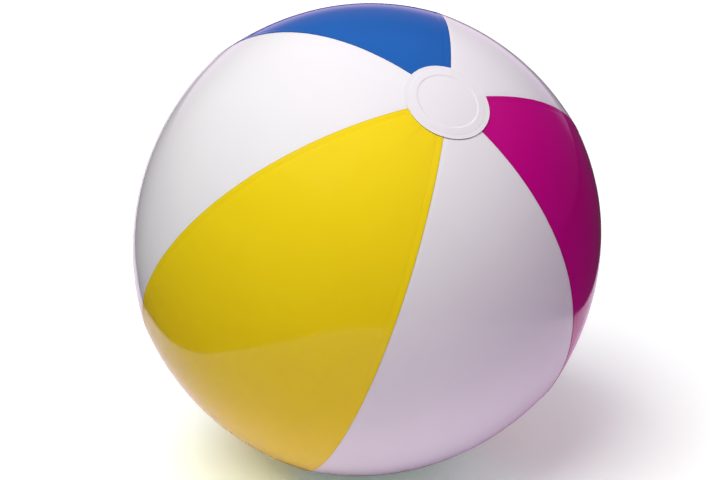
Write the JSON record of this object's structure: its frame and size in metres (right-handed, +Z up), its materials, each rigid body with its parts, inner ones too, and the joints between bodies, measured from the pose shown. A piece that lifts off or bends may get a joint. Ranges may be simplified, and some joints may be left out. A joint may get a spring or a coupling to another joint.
{
  "type": "inflatable beach ball",
  "caption": "Inflated vinyl beach ball of welded coloured film gores with end discs and a pop-out air valve with a strapped plug",
  "frame": {"origin": "on the floor, under the ball's centre", "axes": "+Z is up. The ball's polar axis lies in the YZ plane, tilted back 39.4 degrees from +Z towards -Y. The valve is on the +Y side."},
  "size_m": [0.4, 0.4048, 0.4013],
  "materials": {
    "white_film": "glossy soft vinyl film",
    "magenta_film": "glossy soft vinyl film",
    "blue_film": "glossy soft vinyl film",
    "yellow_film": "glossy soft vinyl film",
    "valve_vinyl": "milky soft moulded vinyl"
  },
  "bodies": {
    "ball": {"gore_white_front": "white_film", "gore_white_right": "white_film", "gore_white_left": "white_film", "gore_magenta": "magenta_film", "gore_blue": "blue_film", "gore_yellow": "yellow_film", "end_disc_top": "white_film", "end_disc_bottom": "white_film", "valve_flange": "valve_vinyl", "valve_skirt": "valve_vinyl"},
    "stem": {"valve_stem": "valve_vinyl"},
    "plug": {"valve_plug": "valve_vinyl", "plug_strap": "valve_vinyl"},
    "flap": {"check_flap": "valve_vinyl"}
  },
  "joints": [
    {"name": "valve_pop", "type": "slide", "parent": "ball", "child": "stem", "axis": [0, 0.9829, -0.184], "range_m": [0, 0.02], "deforming": ["valve_skirt"]},
    {"name": "plug_swing", "type": "hinge", "parent": "stem", "child": "plug", "pos_m": [-0.0075, 0.1992, 0.16259], "axis": [0, 0.184, 0.9829], "range_deg": [0, 105]},
    {"name": "flap_open", "type": "hinge", "parent": "stem", "child": "flap", "pos_m": [0.0047, 0.18613, 0.16504], "axis": [0, 0.184, 0.9829], "range_deg": [0, 60]}
  ]
}
